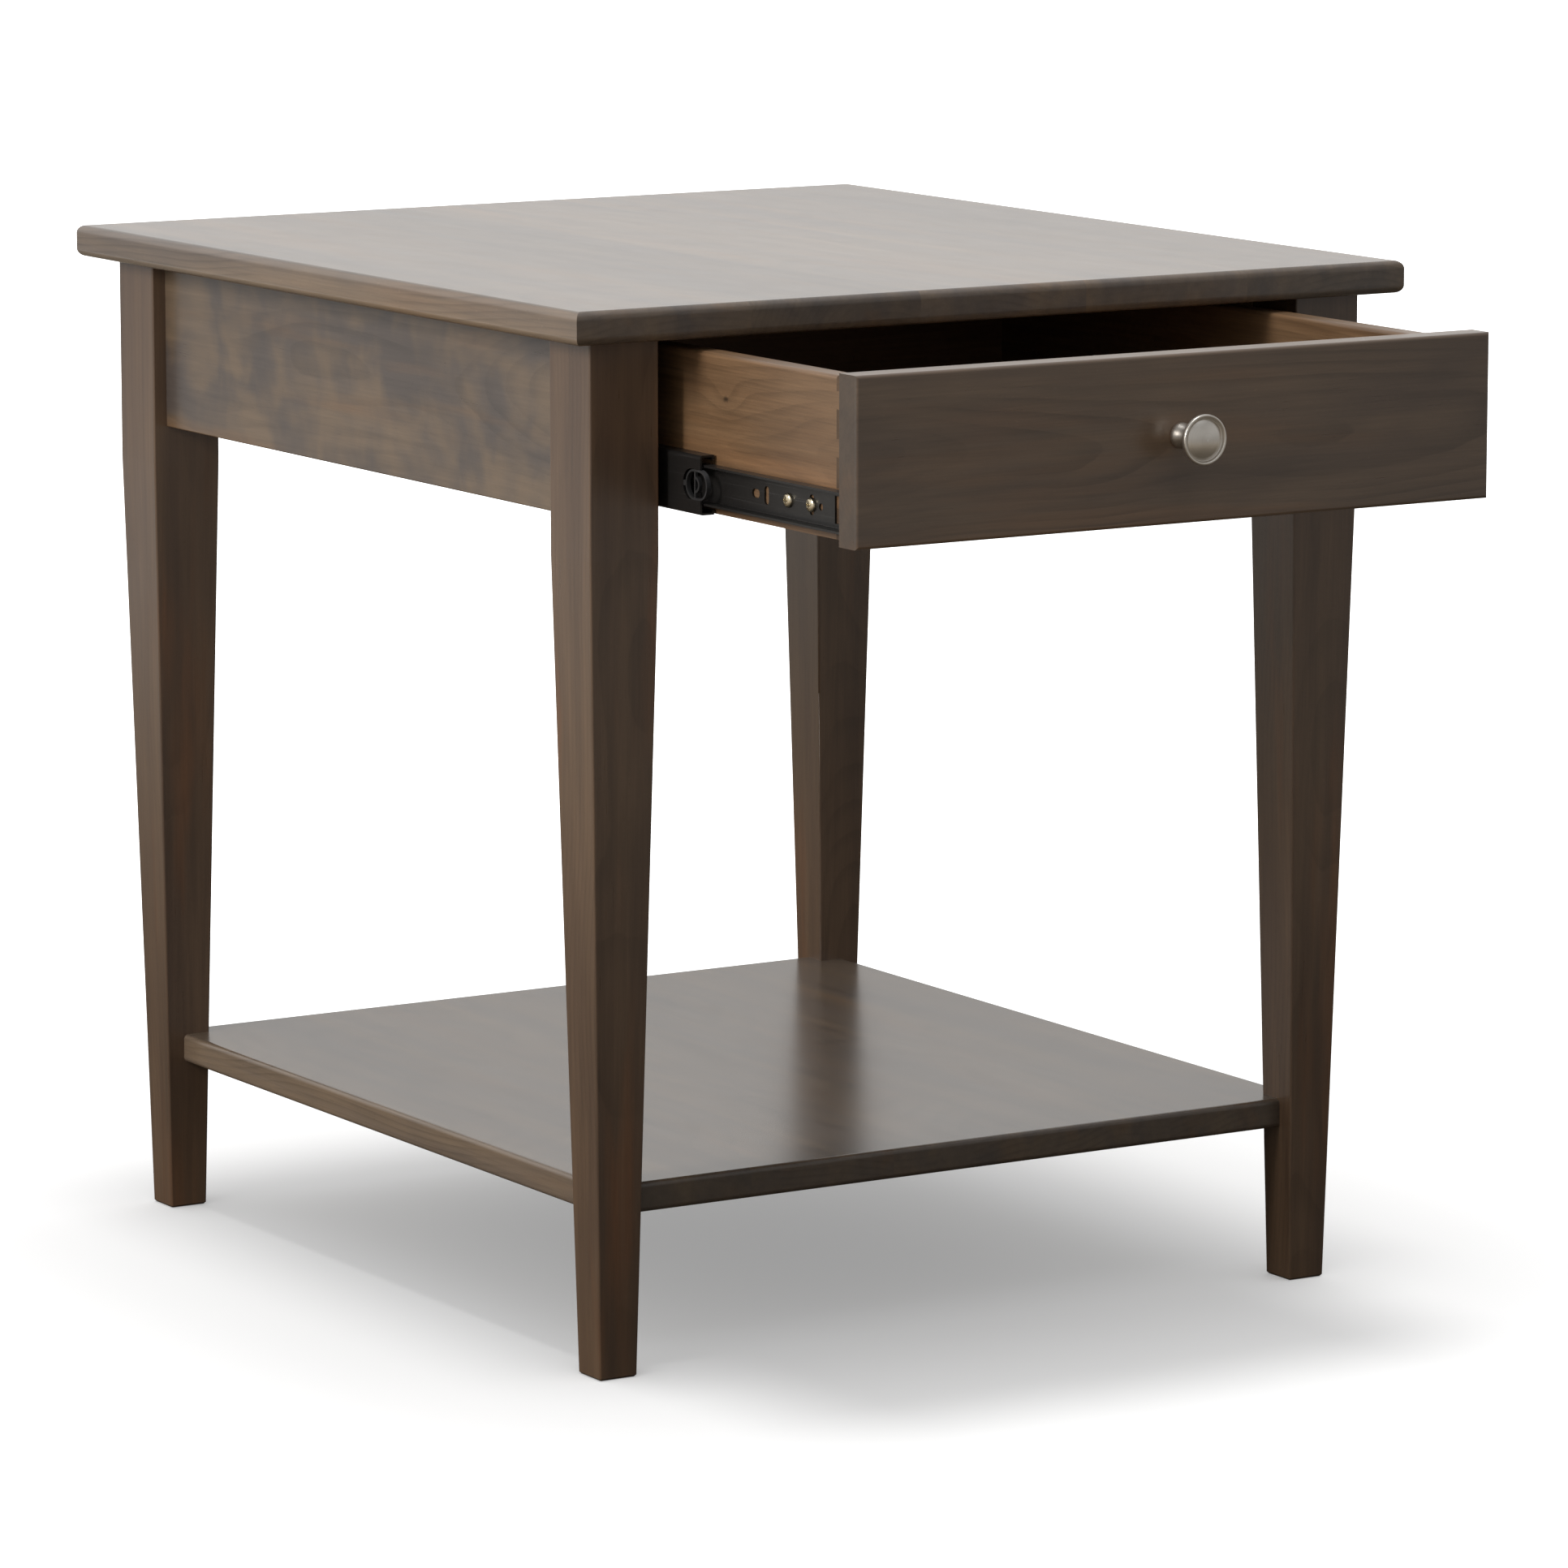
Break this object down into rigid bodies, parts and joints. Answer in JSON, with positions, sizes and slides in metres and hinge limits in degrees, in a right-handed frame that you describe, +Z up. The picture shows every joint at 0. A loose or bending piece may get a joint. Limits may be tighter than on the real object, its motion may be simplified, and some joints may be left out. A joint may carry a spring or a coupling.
{
  "type": "side table with drawer",
  "caption": "Rectangular wooden side table with tapered legs, a lower shelf and one inset drawer on ball-bearing slides, shown part open.",
  "frame": {"origin": "floor level under the middle of the leg footprint", "axes": "+Z up, +X to the right seen from the drawer side, the drawer opens towards -Y"},
  "size_m": [0.5588, 0.8125, 0.6096],
  "materials": {
    "stained_wood": "satin dark grey-brown stain on figured maple, lacquered",
    "drawer_wood": "clear satin lacquer on light brown hardwood",
    "drawer_plywood": "clear satin lacquer on plywood",
    "plain_wood": "unfinished hardwood",
    "satin_nickel": "satin nickel plate",
    "ball_steel": "polished bearing steel",
    "zinc_steel": "zinc plated steel",
    "black_steel": "satin black electrocoat",
    "black_plastic": "matt black moulded plastic"
  },
  "bodies": {
    "table": {"apron_back": "stained_wood", "apron_left": "stained_wood", "apron_right": "stained_wood", "corner_block_screws": "zinc_steel", "corner_blocks": "plain_wood", "leg_back_left": "stained_wood", "leg_back_right": "stained_wood", "leg_front_left": "stained_wood", "leg_front_right": "stained_wood", "shelf": "stained_wood", "shelf_dowels": "plain_wood", "slide_cabinet_member_left": "black_steel", "slide_cabinet_member_right": "black_steel", "slide_cabinet_screws": "zinc_steel", "slide_cleat_left": "plain_wood", "slide_cleat_right": "plain_wood", "slide_cleat_screws": "zinc_steel", "slide_rear_stop_left": "black_plastic", "slide_rear_stop_right": "black_plastic", "tabletop": "stained_wood", "top_cleat_left": "plain_wood", "top_cleat_right": "plain_wood", "top_cleat_screws": "zinc_steel", "top_fastener_screws": "zinc_steel", "top_fasteners": "zinc_steel"},
    "drawer": {"drawer_front": "stained_wood", "drawer_box_front": "drawer_wood", "drawer_side_left": "drawer_wood", "drawer_side_right": "drawer_wood", "drawer_back": "drawer_wood", "drawer_bottom": "drawer_plywood", "drawer_front_screws": "zinc_steel", "knob": "satin_nickel", "knob_screw": "zinc_steel", "slide_drawer_member_left": "black_steel", "slide_drawer_member_right": "black_steel", "slide_drawer_screws": "zinc_steel", "slide_release_lever_left": "black_plastic", "slide_release_lever_right": "black_plastic"},
    "slide_middle_left": {"slide_middle_member_left": "black_steel", "slide_end_guide_left": "black_plastic"},
    "outer_cage_left": {"slide_outer_cage_left": "black_steel", "slide_outer_balls_left": "ball_steel"},
    "inner_cage_left": {"slide_inner_cage_left": "black_steel", "slide_inner_balls_left": "ball_steel"},
    "slide_middle_right": {"slide_middle_member_right": "black_steel", "slide_end_guide_right": "black_plastic"},
    "outer_cage_right": {"slide_outer_cage_right": "black_steel", "slide_outer_balls_right": "ball_steel"},
    "inner_cage_right": {"slide_inner_cage_right": "black_steel", "slide_inner_balls_right": "ball_steel"}
  },
  "joints": [
    {"name": "drawer_slide", "type": "slide", "parent": "table", "child": "drawer", "axis": [0, -1, 0], "range_m": [-0.1953, 0.2619]},
    {"name": "slide_middle_left_travel", "type": "slide", "parent": "table", "child": "slide_middle_left", "axis": [0, -1, 0], "range_m": [-0.09815, 0.13145]},
    {"name": "outer_cage_left_travel", "type": "slide", "parent": "table", "child": "outer_cage_left", "axis": [0, -1, 0], "range_m": [-0.04933, 0.06598]},
    {"name": "inner_cage_left_travel", "type": "slide", "parent": "table", "child": "inner_cage_left", "axis": [0, -1, 0], "range_m": [-0.14697, 0.19693]},
    {"name": "slide_middle_right_travel", "type": "slide", "parent": "table", "child": "slide_middle_right", "axis": [0, -1, 0], "range_m": [-0.09815, 0.13145]},
    {"name": "outer_cage_right_travel", "type": "slide", "parent": "table", "child": "outer_cage_right", "axis": [0, -1, 0], "range_m": [-0.04933, 0.06598]},
    {"name": "inner_cage_right_travel", "type": "slide", "parent": "table", "child": "inner_cage_right", "axis": [0, -1, 0], "range_m": [-0.14697, 0.19693]}
  ],
  "couplings": [
    {"joint": "slide_middle_left_travel", "follows": "drawer_slide", "ratio": 0.5},
    {"joint": "outer_cage_left_travel", "follows": "drawer_slide", "ratio": 0.25},
    {"joint": "inner_cage_left_travel", "follows": "drawer_slide", "ratio": 0.75},
    {"joint": "slide_middle_right_travel", "follows": "drawer_slide", "ratio": 0.5},
    {"joint": "outer_cage_right_travel", "follows": "drawer_slide", "ratio": 0.25},
    {"joint": "inner_cage_right_travel", "follows": "drawer_slide", "ratio": 0.75}
  ]
}
